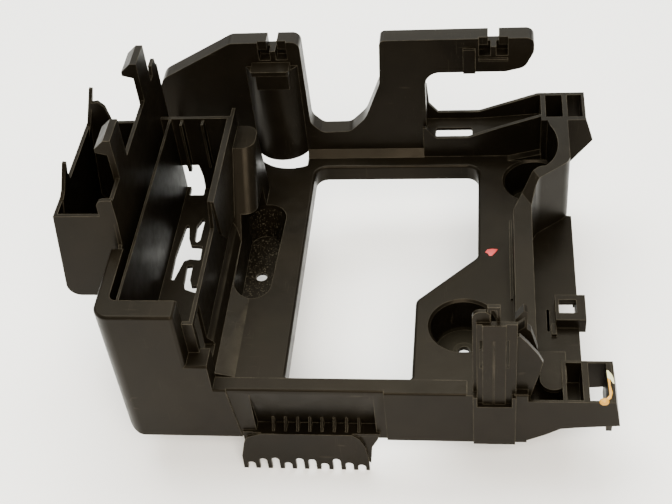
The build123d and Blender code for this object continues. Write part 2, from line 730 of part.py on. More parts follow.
# ---- Outer ledge with the clip block ----
with BuildPart() as ledge:
    with BuildSketch(Plane.XY.offset(ledge_top - wall)):
        with BuildLine():
            Polyline(
                (rail_outer - over, ledge_near), (ledge_right, ledge_near), (ledge_right, outer_bends[-1][1]),
                *[(x - over, y + embed) for x, y, _ in reversed(outer_bends)], close=True,
            )
        make_face()
    extrude(amount=wall)
    with BuildSketch(Plane.XY.offset(ledge_top - ledge_lip)):
        with Locations((ledge_right - wall, ledge_near)):
            Rectangle(wall, outer_bends[-1][1] - ledge_near, align=Align.MIN)
    extrude(amount=ledge_lip)
    x0, x1, y0, y1, top = clip_stop
    with BuildSketch(Plane.XY.offset(ledge_top - embed)):
        with Locations((x0, y0)):
            Rectangle(x1 - x0, y1 - y0, align=Align.MIN)
    extrude(amount=top - ledge_top + embed)
    x0, x1, y0, y1 = clip_block
    with BuildSketch(Plane.XY.offset(clip_base)):
        with Locations((x0, y0)):
            Rectangle(x1 - x0, y1 - y0, align=Align.MIN)
        with Locations((x0 + wall, y0 + wall)):
            Rectangle(x1 - x0 - 2 * wall, y1 - y0 - 2 * wall, align=Align.MIN, mode=Mode.SUBTRACT)
    extrude(amount=clip_top - clip_base)
    with BuildSketch(Plane.XY.offset(clip_top - wall)):
        with Locations((x0, y0)):
            Rectangle(x1 - x0, y1 - y0, align=Align.MIN)
    extrude(amount=wall)
    for x0, x1, y0, y1 in (clip_window, clip_slot):
        with BuildSketch(Plane.XY.offset(ledge_top - ledge_lip - over)):
            with Locations((x0, y0)):
                Rectangle(x1 - x0, y1 - y0, align=Align.MIN)
        extrude(amount=30, mode=Mode.SUBTRACT)
    x0, x1, y0, y1, level = clip_relief
    with BuildSketch(Plane.XY.offset(level)):
        with Locations((x0, y0)):
            Rectangle(x1 - x0, y1 - y0, align=Align.MIN)
    extrude(amount=-ledge_lip - wall, mode=Mode.SUBTRACT)

# ---- Tray with its tongue ----
with BuildPart() as tray:
    with BuildSketch(upright(tray_near)):
        with BuildLine():
            Polyline(*tray_outline, close=True)
        make_face()
    extrude(amount=-(tray_far - tray_near))
    for x0, x1, level in tray_cells:
        with BuildSketch(Plane.XY.offset(level)):
            with Locations((x0, tray_near + tray_wall)):
                Rectangle(x1 - x0, tray_far - tray_near - 2 * tray_wall, align=Align.MIN)
        extrude(amount=60, mode=Mode.SUBTRACT)
    # the far wall is low behind the first cell, where the tongue passes over it
    x0, x1, level = tray_cells[0]
    with BuildSketch(Plane.XY.offset(tongue_top - tongue_thickness)):
        with Locations((x0, tray_far - 2 * tray_wall)):
            Rectangle(x1 - x0, 3 * tray_wall, align=Align.MIN)
    extrude(amount=wall * 4, mode=Mode.SUBTRACT)
    x0, x1, y0, y1 = tongue
    with BuildSketch(Plane.XY.offset(tongue_top - tongue_thickness)):
        with Locations(((x0 + x1) / 2, (y0 + y1) / 2)):
            SlotOverall(y1 - y0, x1 - x0, rotation=90)
        with Locations(((x0 + x1) / 2, y1)):
            Rectangle(x1 - x0, (x1 - x0) / 2, align=(Align.CENTER, Align.MAX))
    extrude(amount=tongue_thickness)
    with BuildSketch(Plane.XY.offset(ledge_top - embed)):
        with Locations(((x0 + x1) / 2, y1)):
            Rectangle(x1 - x0, y1 - tray_far + over, align=(Align.CENTER, Align.MAX))
    extrude(amount=tongue_top - tongue_thickness - ledge_top + 2 * embed)

# ---- Front wall: three sections, the scoop with its shelf and ribs, the comb ----
with BuildPart() as front:
    for x0, x1, face in (
        (box_right - over, mid_left_top, front_face), (mid_left_top, scoop_left, mid_face),
        (scoop_right, mid_right, mid_face), (mid_right, tower_left + over, right_face),
        (tower_right - over, tray_left + over, tray_near),
    ):
        with BuildSketch(Plane.XY.offset(front_base)):
            with Locations((x0, face)):
                Rectangle(x1 - x0, wall + over, align=Align.MIN)
        extrude(amount=floor_bottom + embed - front_base)
    # the left section ends in a slanting seam
    with BuildSketch(upright(front_face)):
        with BuildLine():
            Polyline((mid_left_top - wall, front_base), (mid_left, front_base), (mid_left_top, floor_bottom + embed),
                     (mid_left_top - wall, floor_bottom + embed), close=True)
        make_face()
    extrude(amount=-wall)
    with BuildSketch(Plane.XY.offset(floor_bottom)):
        with Locations((strip_right - embed, right_face)):
            Rectangle(tower_left + over - strip_right + embed, -right_face, align=Align.MIN)
    extrude(amount=floor_top - floor_bottom)
    # raised strip with a rounded edge along the front
    for x0, x1, face in (
        (step_right - over, mid_left_top, front_face), (mid_left_top, mid_right, mid_face),
        (mid_right, strip_right, right_face), (tower_right - over, tray_left + over, tray_near),
    ):
        with BuildSketch(Plane.YZ.offset(x0)):
            with BuildLine():
                FilletPolyline((face, floor_bottom), (face, strip_top), (strip_back, strip_top),
                               (strip_back, floor_bottom), radius=[0, strip_round, 0, 0],
                               close=True)
            make_face()
        extrude(amount=x1 - x0)
    # scoop: the wall leans in towards its foot, between two cheeks
    with BuildSketch(Plane.YZ.offset(scoop_left - embed)):
        with BuildLine():
            Polyline(
                (mid_face, floor_bottom + embed), (mid_face, scoop_top), (mid_face + scoop_depth, shelf_line - over),
                (mid_face + scoop_depth + wall, shelf_line - over), (mid_face + wall, scoop_top),
                (mid_face + wall, floor_bottom + embed), close=True,
            )
        make_face()
    extrude(amount=scoop_right - scoop_left + 2 * embed)
    for x in (scoop_left - wall, scoop_right):
        with BuildSketch(Plane.YZ.offset(x)):
            with BuildLine():
                Polyline((mid_face, scoop_top), (mid_face, front_base), (mid_face + scoop_depth + wall, front_base),
                         (mid_face + wall, scoop_top), close=True)
            make_face()
        extrude(amount=wall)
    with BuildSketch(Plane.XY.offset(shelf_line - wall)):
        with Locations((scoop_left - wall, shelf_lip)):
            Rectangle(scoop_right - scoop_left + 2 * wall, mid_face + scoop_depth + wall - shelf_lip, align=Align.MIN)
    extrude(amount=wall)
    for i in range(rib_count):
        with BuildSketch(Plane.YZ.offset(first_rib + i * rib_pitch)):
            with BuildLine():
                Polyline(
                    (shelf_lip + over, shelf_line - embed), (mid_face + scoop_depth + over, shelf_line - embed),
                    (mid_face + scoop_depth - embed, shelf_line + rib_height), close=True,
                )
            make_face()
        extrude(amount=web / 2, both=True)
    # comb: a thin plate that hangs in the plane of the wall
    with BuildSketch(upright(comb_face)):
        with BuildLine():
            Polyline(*comb_outline, close=True)
        make_face()
        for i, top in enumerate(gap_tops):
            with Locations((first_gap + i * tooth_pitch, top - gap_width / 2)):
                Circle(gap_width / 2, mode=Mode.SUBTRACT)
                Rectangle(gap_width, 40, align=(Align.CENTER, Align.MAX), mode=Mode.SUBTRACT)
    extrude(amount=-comb_thickness)
    with BuildSketch(upright(comb_face + comb_thickness - embed)):
        with BuildLine():
            Polyline(*comb_backing, close=True)
        make_face()
    extrude(amount=-web)

# ---- Clip tower on the front wall ----
with BuildPart() as tower:
    with BuildSketch(upright(foot_face)):
        with Locations((tower_left, front_base)):
            Rectangle(tower_right - tower_left, tower_foot - front_base, align=Align.MIN)
    extrude(amount=-(wall + over))
    with BuildSketch(Plane.XY.offset(front_base)):
        with Locations((tower_left, foot_face), (tower_right - wall, foot_face)):
            Rectangle(wall, wall * 2, align=Align.MIN)
    extrude(amount=floor_top - front_base)
    # base panel, proud centre and rounded ear behind the left side
    with BuildSketch(upright(panel_face + over)):
        with Locations((tower_left + wall, tower_foot - wall)):
            Rectangle(tower_right - tower_left - wall, tower_top - tower_foot + wall, align=Align.MIN)
    extrude(amount=-wall)
    with BuildSketch(upright(panel_face)):
        with Locations((panel_centre[0], tower_foot - wall)):
            Rectangle(panel_centre[1] - panel_centre[0], tower_top - tower_foot + wall, align=Align.MIN)
    extrude(amount=-(wall + over))
    x0, x1, top = ear_plate
    with BuildSketch(upright(ear_plate_face)):
        with BuildLine():
            FilletPolyline((x0, tower_foot - wall), (x1, tower_foot - wall), (x1, top - wall), (x1 - wall, top),
                           (x0, top), radius=[0, 0, 0, 0, ear_plate_round], close=True)
        make_face()
    extrude(amount=-wall)
    for x0, x1 in prongs:
        with BuildSketch(upright(prong_face)):
            with Locations((x0, tower_slot_low)):
                Rectangle(x1 - x0, prong_top - tower_slot_low, align=Align.MIN)
        extrude(amount=-wall)
    with BuildSketch(upright(prong_face)):
        with Locations((prongs[0][0], prong_top - wall)):
            Rectangle(prongs[1][1] - prongs[0][0], wall, align=Align.MIN)
    extrude(amount=-wall)
    for x in tower_slots:
        with BuildSketch(upright(foot_face - over)):
            with Locations((x, tower_slot_low)):
                Rectangle(tower_slot_width, tower_slot_high - tower_slot_low, align=(Align.CENTER, Align.MIN))
        extrude(amount=-12, mode=Mode.SUBTRACT)
    with BuildSketch(upright(panel_face - over)):
        with Locations((groove_x, tower_foot)):
            Rectangle(web / 2, tower_slot_high - tower_foot, align=(Align.CENTER, Align.MIN))
    extrude(amount=-(over + embed), mode=Mode.SUBTRACT)

# ---- Second prong on the rail's end, with a gusset in front and a buttress ----
with BuildPart() as prong:
    x0, (y0, y1) = second_prong_outline[0][0], second_prong
    with BuildSketch(upright(y0)):
        for outline, mode in ((second_prong_outline, Mode.ADD), (second_prong_slot, Mode.SUBTRACT)):
            with BuildLine():
                Polyline(*outline, close=True)
            make_face(mode=mode)
    extrude(amount=-(y1 - y0))
    with BuildSketch(Plane.XY.offset(floor_bottom)):
        with Locations((x0, gusset_face)):
            Rectangle(wall, y0 + over - gusset_face, align=Align.MIN)
    extrude(amount=rim_top - floor_bottom)
    with BuildSketch(upright(gusset_face)):
        with BuildLine():
            Polyline(*gusset_outline, close=True)
        make_face()
    extrude(amount=-wall)
    with BuildSketch(upright(y0)):
        with BuildLine():
            Polyline(*buttress_outline, close=True)
        make_face()
    extrude(amount=-2 * wall)

# ---- Feet under the rear edge, open underneath ----
with BuildPart() as feet:
    for x0, x1, y0, y1, top in (left_foot, right_foot):
        with BuildSketch():
            with Locations((x0, y0)):
                Rectangle(x1 - x0, y1 - y0, align=Align.MIN)
            with Locations((x0 + wall, y0 + wall)):
                Rectangle(x1 - x0 - 2 * wall, y1 - y0 - 2 * wall, align=Align.MIN, mode=Mode.SUBTRACT)
        extrude(amount=top)

# ---- The moulding ----
with BuildPart() as housing:
    for block in (floor_plate, rim, box, shoulder, cell, tall_wall, pocket, skirt, tube, back_wall, channel, ledge,
                  tray, front, tower, prong, feet):
        add(block.part)
    add(slit.part, mode=Mode.SUBTRACT)
    add(cups.part)
    add(cup_hollows.part, mode=Mode.SUBTRACT)
    add(boss.part)
    add(bolt_holes.part, mode=Mode.SUBTRACT)
    # opening through the cell's side wall, with a pocket in the skirt
    x0, x1, y0, y1, z0, z1 = side_opening
    with BuildSketch(Plane.XY.offset(z0)):
        with Locations((x0, y0)):
            Rectangle(x1 - x0, y1 - y0, align=Align.MIN)
    extrude(amount=z1 - z0, mode=Mode.SUBTRACT)

bounds = housing.part.bounding_box()
housing.part = housing.part.moved(Location((-bounds.center().X, -bounds.center().Y, -bounds.min.Z)))
housing.part.label = "housing"
os.makedirs("parts", exist_ok=True)
export_step(housing.part, "parts/housing.step")
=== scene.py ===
import math
import bpy
from mathutils import Matrix, Vector


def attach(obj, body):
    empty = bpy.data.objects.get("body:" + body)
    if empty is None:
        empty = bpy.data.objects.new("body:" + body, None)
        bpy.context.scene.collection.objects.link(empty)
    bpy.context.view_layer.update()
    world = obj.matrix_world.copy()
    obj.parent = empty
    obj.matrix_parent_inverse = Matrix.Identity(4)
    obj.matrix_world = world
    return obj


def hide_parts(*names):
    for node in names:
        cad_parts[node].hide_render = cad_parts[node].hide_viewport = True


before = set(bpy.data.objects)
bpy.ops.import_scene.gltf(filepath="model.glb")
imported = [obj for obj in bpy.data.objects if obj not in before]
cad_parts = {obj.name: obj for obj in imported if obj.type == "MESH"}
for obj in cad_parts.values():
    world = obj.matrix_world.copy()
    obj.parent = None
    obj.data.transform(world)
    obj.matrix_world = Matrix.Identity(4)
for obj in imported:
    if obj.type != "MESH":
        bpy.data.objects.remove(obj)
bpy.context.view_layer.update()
print("frame loaded")


def deselectAll():
    for thing in bpy.context.selected_objects:
        thing.select_set(False)


# ---------- camera ----------
# the drawing's zero sits at this place in the part's own frame
drawingShift = Vector((-0.028510, -0.114250, 0.032000))
cameraSet = {
    "place": (0.126544, -0.486035, 0.645254),   # from the drawing's zero
    "yaw": -0.17413026,
    "pitch": 0.7762668,
    "roll": 0.12339606,
    "focalPixels": 1209.77,
    "pictureWidth": 672,
}


def addCamera(settings):
    yaw, pitch, roll = settings["yaw"], settings["pitch"], settings["roll"]
    ahead = Vector((math.sin(yaw) * math.cos(pitch), math.cos(yaw) * math.cos(pitch), -math.sin(pitch)))
    right = Vector((math.cos(yaw), -math.sin(yaw), 0))
    down = ahead.cross(right)
    across = right * math.cos(roll) + down * math.sin(roll)
    below = -right * math.sin(roll) + down * math.cos(roll)
    turn = Matrix((across, -below, -ahead)).transposed()
    data = bpy.data.cameras.new("camera")
    data.sensor_width = 36
    data.lens = settings["focalPixels"] / settings["pictureWidth"] * 36
    camera = bpy.data.objects.new("camera", data)
    bpy.context.scene.collection.objects.link(camera)
    camera.matrix_world = Matrix.Translation(Vector(settings["place"]) + drawingShift) @ turn.to_4x4()
    bpy.context.scene.camera = camera
    return camera


camera = addCamera(cameraSet)
print("camera placed")

# ---------- light and floor ----------
lightSet = [
    {"name": "keySoftbox", "place": (0.35, -1.35, 1.55), "aim": (0.0, 0.0, 0.05), "size": (1.1, 0.8), "power": 66,
     "colour": (1.0, 0.91, 0.77)},
    {"name": "overhead", "place": (-0.15, 0.45, 1.6), "aim": (0.0, 0.0, 0.05), "size": (1.5, 1.1), "power": 66,
     "colour": (0.97, 1.0, 0.96)},
    {"name": "backPanel", "place": (0.1, 1.7, 0.8), "aim": (0.0, 0.0, 0.1), "size": (2.0, 0.9), "power": 18,
     "colour": (0.96, 1.0, 0.95)},
    {"name": "leftPanel", "place": (-1.5, -0.2, 0.7), "aim": (0.0, 0.0, 0.08), "size": (1.0, 0.8), "power": 7,
     "colour": (1.0, 0.92, 0.8)},
]
worldSet = {"colour": (1.0, 0.97, 0.92, 1.0), "strength": 0.9}
floorSet = {"half": 3.0, "colour": (0.97, 0.965, 0.955, 1.0), "roughness": 0.9}


def addLights(lights):
    for item in lights:
        data = bpy.data.lights.new(item["name"], "AREA")
        data.shape = "RECTANGLE"
        data.size, data.size_y = item["size"]
        data.energy = item["power"]
        data.color = item["colour"]
        lamp = bpy.data.objects.new(item["name"], data)
        bpy.context.scene.collection.objects.link(lamp)
        lamp.location = item["place"]
        lamp.rotation_euler = (Vector(item["aim"]) - Vector(item["place"])).to_track_quat("-Z", "Y").to_euler()


def addWorld(settings):
    world = bpy.data.worlds.new("studio")
    world.use_nodes = True
    background = world.node_tree.nodes["Background"]
    background.inputs["Color"].default_value = settings["colour"]
    background.inputs["Strength"].default_value = settings["strength"]
    bpy.context.scene.world = world


def addFloor(settings):
    deselectAll()
    bpy.ops.mesh.primitive_plane_add(size=settings["half"] * 2, location=(0, 0, 0))
    floor = bpy.context.object
    floor.name = "floor"
    coat = bpy.data.materials.new("paleFloor")
    coat.use_nodes = True
    shader = coat.node_tree.nodes["Principled BSDF"]
    shader.inputs["Base Color"].default_value = settings["colour"]
    shader.inputs["Roughness"].default_value = settings["roughness"]
    floor.data.materials.append(coat)
    return floor


addLights(lightSet)
addWorld(worldSet)
addFloor(floorSet)
print("light and floor ready")


# ---------- rounded copy of the moulding ----------
edgeSet = {
    "merge": 0.000004,
    "flatAngle": math.radians(0.6),
    "bevel": 0.00045,
    "bevelSegments": 2,
    "bevelAngle": math.radians(28),
    "smoothAngle": math.radians(32),
    "areaWeight": 60,
}


def makeShell(source, settings):
    deselectAll()
    shell = source.copy()
    shell.data = source.data.copy()
    shell.name = "housingShell"
    shell.parent = None
    bpy.context.scene.collection.objects.link(shell)
    bpy.context.view_layer.objects.active = shell
    shell.select_set(True)
    bpy.ops.object.mode_set(mode="EDIT")
    bpy.ops.mesh.select_all(action="SELECT")
    bpy.ops.mesh.remove_doubles(threshold=settings["merge"])
    bpy.ops.mesh.dissolve_limited(angle_limit=settings["flatAngle"])
    bpy.ops.object.mode_set(mode="OBJECT")
    rounding = shell.modifiers.new("rounding", "BEVEL")
    rounding.width = settings["bevel"]
    rounding.segments = settings["bevelSegments"]
    rounding.limit_method = "ANGLE"
    rounding.angle_limit = settings["bevelAngle"]
    rounding.use_clamp_overlap = True
    rounding.miter_outer = "MITER_ARC"
    bpy.ops.object.modifier_apply(modifier=rounding.name)
    bpy.ops.object.shade_smooth_by_angle(angle=settings["smoothAngle"])
    evening = shell.modifiers.new("evening", "WEIGHTED_NORMAL")
    evening.mode = "FACE_AREA"
    evening.weight = settings["areaWeight"]
    evening.keep_sharp = True
    bpy.ops.object.modifier_apply(modifier=evening.name)
    return shell


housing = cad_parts["housing"]
shell = makeShell(housing, edgeSet)
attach(shell, "root")
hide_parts("housing")
print("rounded shell ready", len(shell.data.polygons), "faces")


# ---------- node groups ----------
grainSet = {"fine": 1900, "fineShare": 0.65, "soft": 260, "softShare": 0.35}
cloudSet = {"wide": 16, "wideRange": (0.35, 0.68), "close": 75, "closeRange": (0.42, 0.72)}
scratchSet = {
    "layers": [
        {"stretch": (260, 5.5, 30), "turn": (0.0, 0.3, 0.5)},
        {"stretch": (7, 230, 26), "turn": (0.2, 0.0, 0.35)},
        {"stretch": (190, 90, 4), "turn": (0.5, 0.4, -0.4)},
    ],
    "lineScale": 8,
    "lineRange": (0.705, 0.76),
    "gateScale": 24,
    "gateRange": (0.48, 0.66),
}
# settings of the painted highlight along the edges
edgeHighlightSet = {"width": 0.0007, "samples": 6, "turnRange": (0.995, 0.9), "patchScale": 90, "patchRange": (0.36, 0.6),
          "leastHighlight": 0.25}


def startGroup(name, inputs, outputs):
    group = bpy.data.node_groups.new(name, "ShaderNodeTree")
    for label, kind, value in inputs:
        socket = group.interface.new_socket(name=label, in_out="INPUT", socket_type=kind)
        if value is not None:
            socket.default_value = value
    for label, kind in outputs:
        group.interface.new_socket(name=label, in_out="OUTPUT", socket_type=kind)
    entry = group.nodes.new("NodeGroupInput")
    leave = group.nodes.new("NodeGroupOutput")
    return group, entry, leave


def addNoise(tree, vector, scale, detail, roughness=0.5, distortion=0.0):
    node = tree.nodes.new("ShaderNodeTexNoise")
    node.inputs["Scale"].default_value = scale
    node.inputs["Detail"].default_value = detail
    node.inputs["Roughness"].default_value = roughness
    node.inputs["Distortion"].default_value = distortion
    tree.links.new(vector, node.inputs["Vector"])
    return node.outputs["Fac"]


def addRange(tree, value, low, high, toLow=0.0, toHigh=1.0):
    node = tree.nodes.new("ShaderNodeMapRange")
    node.inputs["From Min"].default_value = low
    node.inputs["From Max"].default_value = high
    node.inputs["To Min"].default_value = toLow
    node.inputs["To Max"].default_value = toHigh
    tree.links.new(value, node.inputs["Value"])
    return node.outputs["Result"]


def addMath(tree, operation, first, second):
    node = tree.nodes.new("ShaderNodeMath")
    node.operation = operation
    for index, value in enumerate((first, second)):
        if isinstance(value, (int, float)):
            node.inputs[index].default_value = value
        else:
            tree.links.new(value, node.inputs[index])
    return node.outputs["Value"]


def addMapping(tree, vector, scale, rotation=(0, 0, 0)):
    node = tree.nodes.new("ShaderNodeMapping")
    node.inputs["Scale"].default_value = scale
    node.inputs["Rotation"].default_value = rotation
    tree.links.new(vector, node.inputs["Vector"])
    return node.outputs["Vector"]


def makeGrainGroup():
    group, entry, leave = startGroup(
        "mouldGrain", [("Vector", "NodeSocketVector", None)], [("Height", "NodeSocketFloat")])
    fine = addNoise(group, entry.outputs["Vector"], grainSet["fine"], 2.0)
    soft = addNoise(group, entry.outputs["Vector"], grainSet["soft"], 2.0)
    fineHeight = addMath(group, "MULTIPLY", fine, grainSet["fineShare"])
    softHeight = addMath(group, "MULTIPLY", soft, grainSet["softShare"])
    group.links.new(addMath(group, "ADD", fineHeight, softHeight), leave.inputs["Height"])
    return group


def makeCloudGroup():
    group, entry, leave = startGroup(
        "handledClouds", [("Vector", "NodeSocketVector", None)],
        [("Clouds", "NodeSocketFloat"), ("Haze", "NodeSocketFloat")])
    wide = addNoise(group, entry.outputs["Vector"], cloudSet["wide"], 4.0, 0.6, 0.6)
    close = addNoise(group, entry.outputs["Vector"], cloudSet["close"], 5.0, 0.65, 0.3)
    group.links.new(addRange(group, wide, *cloudSet["wideRange"]), leave.inputs["Clouds"])
    group.links.new(addRange(group, close, *cloudSet["closeRange"]), leave.inputs["Haze"])
    return group


def makeScratchGroup():
    group, entry, leave = startGroup(
        "fineScratches", [("Vector", "NodeSocketVector", None)], [("Scratches", "NodeSocketFloat")])
    layers = []
    for layer in scratchSet["layers"]:
        stretched = addMapping(group, entry.outputs["Vector"], layer["stretch"], layer["turn"])
        layers.append(addRange(group, addNoise(group, stretched, scratchSet["lineScale"], 1.0),
                               *scratchSet["lineRange"]))
    gate = addRange(group, addNoise(group, entry.outputs["Vector"], scratchSet["gateScale"], 2.0),
                    *scratchSet["gateRange"])
    both = addMath(group, "MAXIMUM", addMath(group, "MAXIMUM", layers[0], layers[1]), layers[2])
    group.links.new(addMath(group, "MULTIPLY", both, gate), leave.inputs["Scratches"])
    return group


def makeWellGroup():
    # inside of an upright round well: 1 within the radius and between the two heights
    group, entry, leave = startGroup(
        "wellMask", [("Vector", "NodeSocketVector", None), ("Centre", "NodeSocketVector", (0, 0, 0)),
                     ("Radius", "NodeSocketFloat", 0.02), ("Floor", "NodeSocketFloat", 0.0),
                     ("Ceiling", "NodeSocketFloat", 0.01)],
        [("Mask", "NodeSocketFloat")])
    parts = group.nodes.new("ShaderNodeSeparateXYZ")
    group.links.new(entry.outputs["Vector"], parts.inputs["Vector"])
    middle = group.nodes.new("ShaderNodeSeparateXYZ")
    group.links.new(entry.outputs["Centre"], middle.inputs["Vector"])
    acrossX = addMath(group, "SUBTRACT", parts.outputs["X"], middle.outputs["X"])
    acrossY = addMath(group, "SUBTRACT", parts.outputs["Y"], middle.outputs["Y"])
    reach = addMath(group, "SQRT", addMath(group, "ADD", addMath(group, "MULTIPLY", acrossX, acrossX),
                                           addMath(group, "MULTIPLY", acrossY, acrossY)), 0.0)
    inside = addMath(group, "LESS_THAN", reach, entry.outputs["Radius"])
    above = addMath(group, "GREATER_THAN", parts.outputs["Z"], entry.outputs["Floor"])
    below = addMath(group, "LESS_THAN", parts.outputs["Z"], entry.outputs["Ceiling"])
    between = addMath(group, "MULTIPLY", above, below)
    group.links.new(addMath(group, "MULTIPLY", inside, between), leave.inputs["Mask"])
    return group


def makeTroughGroup():
    # between two heights inside an upright box
    group, entry, leave = startGroup(
        "troughMask", [("Vector", "NodeSocketVector", None), ("Low", "NodeSocketVector", (0, 0, 0)),
                       ("High", "NodeSocketVector", (0, 0, 0))],
        [("Mask", "NodeSocketFloat")])
    tests = []
    parts = group.nodes.new("ShaderNodeSeparateXYZ")
    group.links.new(entry.outputs["Vector"], parts.inputs["Vector"])
    for corner, operation in (("Low", "GREATER_THAN"), ("High", "LESS_THAN")):
        limits = group.nodes.new("ShaderNodeSeparateXYZ")
        group.links.new(entry.outputs[corner], limits.inputs["Vector"])
        tests += [addMath(group, operation, parts.outputs[axis], limits.outputs[axis]) for axis in ("X", "Y", "Z")]
    mask = tests[0]
    for test in tests[1:]:
        mask = addMath(group, "MULTIPLY", mask, test)
    group.links.new(mask, leave.inputs["Mask"])
    return group


def makeEdgeGroup():
    # painted highlight along the corners, outer and inner, where the rounded normal turns away from the true one,
    # broken into patches by noise
    group, entry, leave = startGroup(
        "paintedEdgeHighlight", [("Vector", "NodeSocketVector", None), ("Width", "NodeSocketFloat", edgeHighlightSet["width"])],
        [("HighlightMask", "NodeSocketFloat")])
    geometry = group.nodes.new("ShaderNodeNewGeometry")
    turned = group.nodes.new("ShaderNodeBevel")
    turned.samples = edgeHighlightSet["samples"]
    group.links.new(entry.outputs["Width"], turned.inputs["Radius"])
    meeting = group.nodes.new("ShaderNodeVectorMath")
    meeting.operation = "DOT_PRODUCT"
    group.links.new(turned.outputs["Normal"], meeting.inputs[0])
    group.links.new(geometry.outputs["True Normal"], meeting.inputs[1])
    turn = addRange(group, meeting.outputs["Value"], *edgeHighlightSet["turnRange"])
    patchy = addRange(group, addNoise(group, entry.outputs["Vector"], edgeHighlightSet["patchScale"], 4.0, 0.6),
                      *edgeHighlightSet["patchRange"], edgeHighlightSet["leastHighlight"], 1.0)
    group.links.new(addMath(group, "MULTIPLY", turn, patchy), leave.inputs["HighlightMask"])
    return group


groups = {
    "grain": makeGrainGroup(),
    "clouds": makeCloudGroup(),
    "scratches": makeScratchGroup(),
    "well": makeWellGroup(),
    "trough": makeTroughGroup(),
    "edge": makeEdgeGroup(),
}
print("node groups ready")


# ---------- black moulded plastic ----------
plasticSet = {
    "dark": (0.0026, 0.0020, 0.0012, 1.0),
    "brown": (0.0048, 0.0036, 0.0021, 1.0),
    # pale colour shared by the scratches, the trough speckle and the painted highlight along the edges
    "paleMarksAndHighlight": (0.080, 0.069, 0.048, 1.0),
    "dust": (0.020, 0.018, 0.012, 1.0),
    "roughLow": 0.32,
    "roughHigh": 0.44,
    "grainDepth": 0.00003,
    "shine": 0.075,
    "shineTint": (1.0, 0.86, 0.66, 1.0),
    "dustShare": 0.35,
    "scratchShare": 0.16,
    "edgeHighlightShare": 0.6,
    "sparkScale": 900,
    "sparkRange": (0.6, 0.72),
    "sparkShare": 0.5,
    "wellRough": 0.2,
    "bumpStrength": 0.45,
    "coarseGrain": 6.0,
}
wellSet = [
    {"centre": (0.1115, 0.0455), "radius": 0.0207, "floor": 0.0185, "ceiling": 0.0230},
    {"centre": (0.1615, 0.1880), "radius": 0.0207, "floor": 0.0185, "ceiling": 0.0230},
]
troughSet = {"low": (-0.0520, 0.0600, 0.0190), "high": (-0.0150, 0.1700, 0.0445)}


def useGroup(tree, group, vector):
    node = tree.nodes.new("ShaderNodeGroup")
    node.node_tree = group
    tree.links.new(vector, node.inputs["Vector"])
    return node


def addMix(tree, factor, first, second):
    node = tree.nodes.new("ShaderNodeMix")
    node.data_type = "RGBA"
    tree.links.new(factor, node.inputs["Factor"])
    for name, value in (("A", first), ("B", second)):
        socket = [item for item in node.inputs if item.name == name and item.type == "RGBA"][0]
        if isinstance(value, tuple):
            socket.default_value = value
        else:
            tree.links.new(value, socket)
    return [item for item in node.outputs if item.type == "RGBA"][0]


def makePlastic(settings, wells, trough):
    coat = bpy.data.materials.new("blackPlastic")
    coat.use_nodes = True
    tree = coat.node_tree
    shader = tree.nodes["Principled BSDF"]
    place = tree.nodes.new("ShaderNodeTexCoord").outputs["Object"]
    clouds = useGroup(tree, groups["clouds"], place)
    scratches = useGroup(tree, groups["scratches"], place)
    edge = useGroup(tree, groups["edge"], place)
    grain = useGroup(tree, groups["grain"], place)
    wellMask = None
    for well in wells:
        node = useGroup(tree, groups["well"], place)
        acrossX, acrossY = well["centre"]
        node.inputs["Centre"].default_value = (acrossX + drawingShift.x, acrossY + drawingShift.y, 0)
        node.inputs["Radius"].default_value = well["radius"]
        node.inputs["Floor"].default_value = well["floor"] + drawingShift.z
        node.inputs["Ceiling"].default_value = well["ceiling"] + drawingShift.z
        mask = node.outputs["Mask"]
        wellMask = mask if wellMask is None else addMath(tree, "MAXIMUM", wellMask, mask)
    troughNode = useGroup(tree, groups["trough"], place)
    troughNode.inputs["Low"].default_value = Vector(trough["low"]) + drawingShift
    troughNode.inputs["High"].default_value = Vector(trough["high"]) + drawingShift
    troughMask = troughNode.outputs["Mask"]
    sparks = addRange(tree, addNoise(tree, place, settings["sparkScale"], 1.0), *settings["sparkRange"])
    sparks = addMath(tree, "MULTIPLY", addMath(tree, "MULTIPLY", sparks, troughMask), settings["sparkShare"])
    tone = addMix(tree, clouds.outputs["Clouds"], settings["dark"], settings["brown"])
    tone = addMix(tree, sparks, tone, settings["paleMarksAndHighlight"])
    # scratches lighten as wear; the edge mask paints a highlight along the corners in the same pale colour
    for mask, share, colour in ((wellMask, "dustShare", "dust"),
                                (scratches.outputs["Scratches"], "scratchShare", "paleMarksAndHighlight"),
                                (edge.outputs["HighlightMask"], "edgeHighlightShare", "paleMarksAndHighlight")):
        tone = addMix(tree, addMath(tree, "MULTIPLY", mask, settings[share]), tone, settings[colour])
    tree.links.new(tone, shader.inputs["Base Color"])
    rough = addRange(tree, clouds.outputs["Haze"], 0.0, 1.0, settings["roughLow"], settings["roughHigh"])
    rough = addMath(tree, "ADD", rough, addMath(tree, "MULTIPLY", wellMask, settings["wellRough"]))
    tree.links.new(rough, shader.inputs["Roughness"])
    bump = tree.nodes.new("ShaderNodeBump")
    bump.inputs["Distance"].default_value = settings["grainDepth"]
    bump.inputs["Strength"].default_value = settings["bumpStrength"]
    coarse = addMath(tree, "MULTIPLY", addMath(tree, "MAXIMUM", wellMask, troughMask), settings["coarseGrain"])
    depth = addMath(tree, "MULTIPLY", grain.outputs["Height"], addMath(tree, "ADD", coarse, 1.0))
    tree.links.new(depth, bump.inputs["Height"])
    tree.links.new(bump.outputs["Normal"], shader.inputs["Normal"])
    shader.inputs["Specular IOR Level"].default_value = settings["shine"]
    shader.inputs["Specular Tint"].default_value = settings["shineTint"]
    return coat


blackPlastic = makePlastic(plasticSet, wellSet, troughSet)
shell.data.materials.clear()
shell.data.materials.append(blackPlastic)
print("plastic ready")


